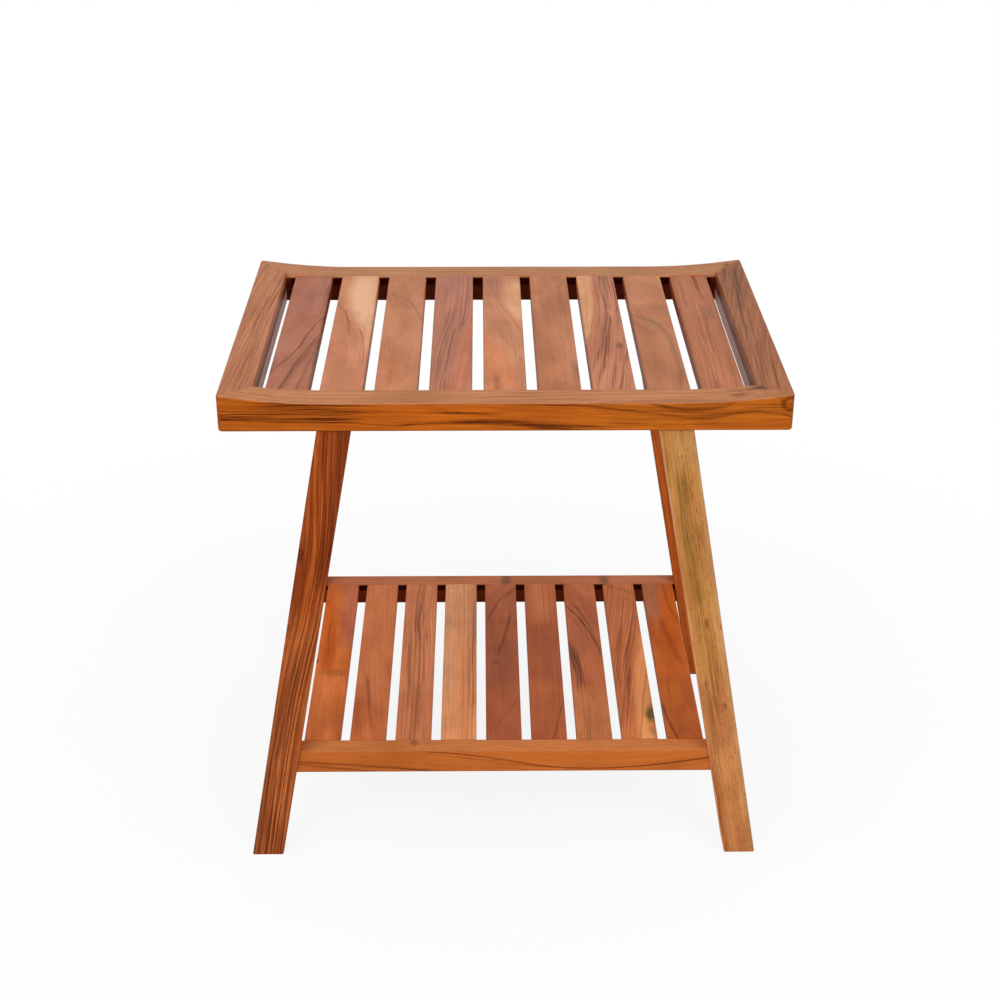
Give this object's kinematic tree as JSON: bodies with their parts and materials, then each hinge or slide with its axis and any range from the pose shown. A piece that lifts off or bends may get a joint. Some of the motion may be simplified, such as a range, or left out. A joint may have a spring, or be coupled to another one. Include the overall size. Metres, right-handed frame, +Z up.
{
  "type": "bath bench",
  "caption": "Slatted wooden bath bench with a mitred, gently dished seat frame, splayed legs and a slatted storage shelf.",
  "frame": {"origin": "on the floor, under the centre of the seat", "axes": "+X to the right along the seat's length, +Y from the front to the back, +Z up"},
  "size_m": [0.46, 0.33, 0.4544],
  "materials": {
    "front_rail": "oiled satin wood, grain along the piece",
    "back_rail": "oiled satin wood, grain along the piece",
    "left_end_board": "oiled satin wood, grain along the piece",
    "right_end_board": "oiled satin wood, grain along the piece",
    "seat_slat_1": "oiled satin wood, grain along the piece",
    "seat_slat_2": "oiled satin wood, grain along the piece",
    "seat_slat_3": "oiled satin wood, grain along the piece",
    "seat_slat_4": "oiled satin wood, grain along the piece",
    "seat_slat_5": "oiled satin wood, grain along the piece",
    "seat_slat_6": "oiled satin wood, grain along the piece",
    "seat_slat_7": "oiled satin wood, grain along the piece",
    "seat_slat_8": "oiled satin wood, grain along the piece",
    "seat_slat_9": "oiled satin wood, grain along the piece",
    "front_left_leg": "oiled satin wood, grain along the piece",
    "front_right_leg": "oiled satin wood, grain along the piece",
    "back_left_leg": "oiled satin wood, grain along the piece",
    "back_right_leg": "oiled satin wood, grain along the piece",
    "shelf_front_rail": "oiled satin wood, grain along the piece",
    "shelf_back_rail": "oiled satin wood, grain along the piece",
    "shelf_slat_1": "oiled satin wood, grain along the piece",
    "shelf_slat_2": "oiled satin wood, grain along the piece",
    "shelf_slat_3": "oiled satin wood, grain along the piece",
    "shelf_slat_4": "oiled satin wood, grain along the piece",
    "shelf_slat_5": "oiled satin wood, grain along the piece",
    "shelf_slat_6": "oiled satin wood, grain along the piece",
    "shelf_slat_7": "oiled satin wood, grain along the piece",
    "shelf_slat_8": "oiled satin wood, grain along the piece",
    "shelf_slat_9": "oiled satin wood, grain along the piece",
    "front_left_corner_key": "oiled satin wood, grain along the piece",
    "front_right_corner_key": "oiled satin wood, grain along the piece",
    "back_left_corner_key": "oiled satin wood, grain along the piece",
    "back_right_corner_key": "oiled satin wood, grain along the piece"
  },
  "bodies": {
    "root": {"front_rail": "front_rail", "back_rail": "back_rail", "left_end_board": "left_end_board", "right_end_board": "right_end_board", "seat_slat_1": "seat_slat_1", "seat_slat_2": "seat_slat_2", "seat_slat_3": "seat_slat_3", "seat_slat_4": "seat_slat_4", "seat_slat_5": "seat_slat_5", "seat_slat_6": "seat_slat_6", "seat_slat_7": "seat_slat_7", "seat_slat_8": "seat_slat_8", "seat_slat_9": "seat_slat_9", "front_left_leg": "front_left_leg", "front_right_leg": "front_right_leg", "back_left_leg": "back_left_leg", "back_right_leg": "back_right_leg", "shelf_front_rail": "shelf_front_rail", "shelf_back_rail": "shelf_back_rail", "shelf_slat_1": "shelf_slat_1", "shelf_slat_2": "shelf_slat_2", "shelf_slat_3": "shelf_slat_3", "shelf_slat_4": "shelf_slat_4", "shelf_slat_5": "shelf_slat_5", "shelf_slat_6": "shelf_slat_6", "shelf_slat_7": "shelf_slat_7", "shelf_slat_8": "shelf_slat_8", "shelf_slat_9": "shelf_slat_9", "front_left_corner_key": "front_left_corner_key", "front_right_corner_key": "front_right_corner_key", "back_left_corner_key": "back_left_corner_key", "back_right_corner_key": "back_right_corner_key"}
  },
  "joints": []
}
